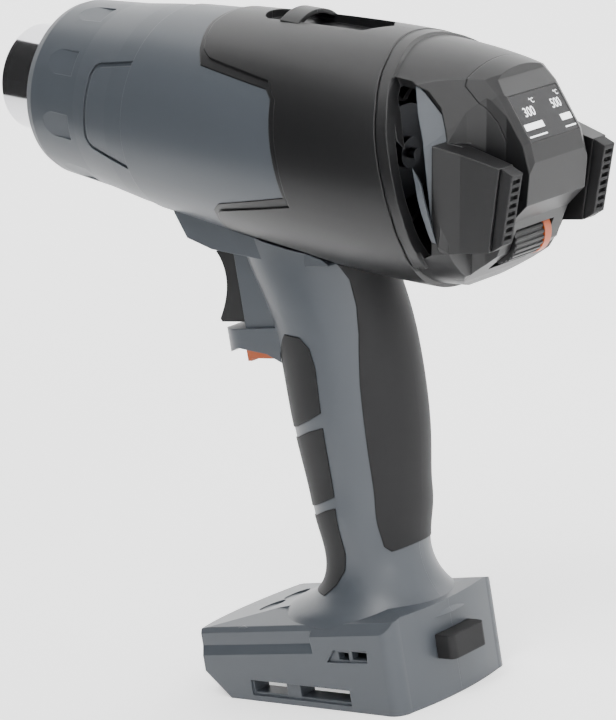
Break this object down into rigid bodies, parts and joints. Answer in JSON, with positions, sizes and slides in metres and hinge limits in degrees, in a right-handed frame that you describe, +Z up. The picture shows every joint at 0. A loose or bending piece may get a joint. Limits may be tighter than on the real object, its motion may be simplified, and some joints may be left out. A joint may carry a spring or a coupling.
{
  "type": "heat gun",
  "caption": "Cordless pistol-grip heat gun with a steel outlet tube, rear display and thumb wheel, trigger with lock slide, and a slide-on battery foot.",
  "frame": {"origin": "middle of the whole tool's footprint, on the plane the battery foot stands on", "axes": "+Z up as the tool stands on its foot, -X towards the outlet tube, +Y to the tool's right seen from behind its display"},
  "size_m": [0.2058, 0.0718, 0.2151],
  "materials": {
    "chrome": "polished stainless steel",
    "grey_plastic": "fine satin, blue-grey glass-filled plastic",
    "black_soft": "soft-touch satin black",
    "black_rubber": "matt rubber",
    "orange_plastic": "satin copper orange",
    "display_glass": "gloss black window",
    "steel": "plain steel",
    "ceramic": "white ceramic",
    "mica": "mica sheet",
    "heater_wire": "resistance wire",
    "board": "green circuit board",
    "motor_steel": "plated motor can",
    "white_plastic": "white moulded plastic",
    "brass": "tinned brass"
  },
  "bodies": {
    "root": {"air_funnel": "white_plastic", "battery_rail_left": "steel", "battery_rail_right": "steel", "contact_blades": "brass", "control_board": "board", "display_board": "board", "display_window": "display_glass", "fan_motor": "motor_steel", "foot_block": "black_rubber", "grip_insert_lower": "black_rubber", "grip_insert_middle": "black_rubber", "grip_insert_upper": "black_rubber", "heat_shield": "steel", "heater_coil": "heater_wire", "heater_core": "ceramic", "housing_left": "grey_plastic", "housing_right": "grey_plastic", "housing_screws": "steel", "inlet_insert_left": "grey_plastic", "inlet_insert_right": "grey_plastic", "mica_tube": "mica", "motor_mount": "white_plastic", "nozzle_tube": "chrome", "rear_cap": "black_soft", "rear_grip": "black_rubber", "rear_panel": "black_soft", "rear_shell_left": "black_soft", "rear_shell_right": "black_soft", "standing_pad_left": "black_rubber", "standing_pad_right": "black_rubber", "switch_module": "white_plastic", "temperature_probe": "steel", "terminal_block": "black_soft", "trigger_guide": "white_plastic", "trigger_spring": "steel", "wheel_axle": "steel", "wheel_encoder": "white_plastic"},
    "sleeve": {"front_sleeve": "grey_plastic"},
    "rotor": {"fan_impeller": "white_plastic", "motor_shaft": "steel"},
    "wheel": {"control_wheel": "black_soft", "wheel_band": "orange_plastic"},
    "trigger": {"trigger": "black_soft"},
    "lock": {"lock_slider": "orange_plastic"}
  },
  "joints": [
    {"name": "sleeve_pull", "type": "slide", "parent": "root", "child": "sleeve", "axis": [-0.9799, 0, 0.1994], "range_m": [0, 0.06]},
    {"name": "fan_spin", "type": "hinge", "parent": "root", "child": "rotor", "pos_m": [0.0507, 0, 0.1624], "axis": [0.9799, 0, -0.1994], "continuous": true},
    {"name": "wheel_turn", "type": "hinge", "parent": "root", "child": "wheel", "pos_m": [0.08161, 0, 0.13876], "axis": [0, 1, 0], "continuous": true},
    {"name": "trigger_pull", "type": "slide", "parent": "root", "child": "trigger", "axis": [1, 0, 0], "range_m": [0, 0.006], "stiffness_N_per_m": 400},
    {"name": "lock_slide", "type": "slide", "parent": "root", "child": "lock", "axis": [1, 0, 0], "range_m": [0, 0.0025]}
  ]
}
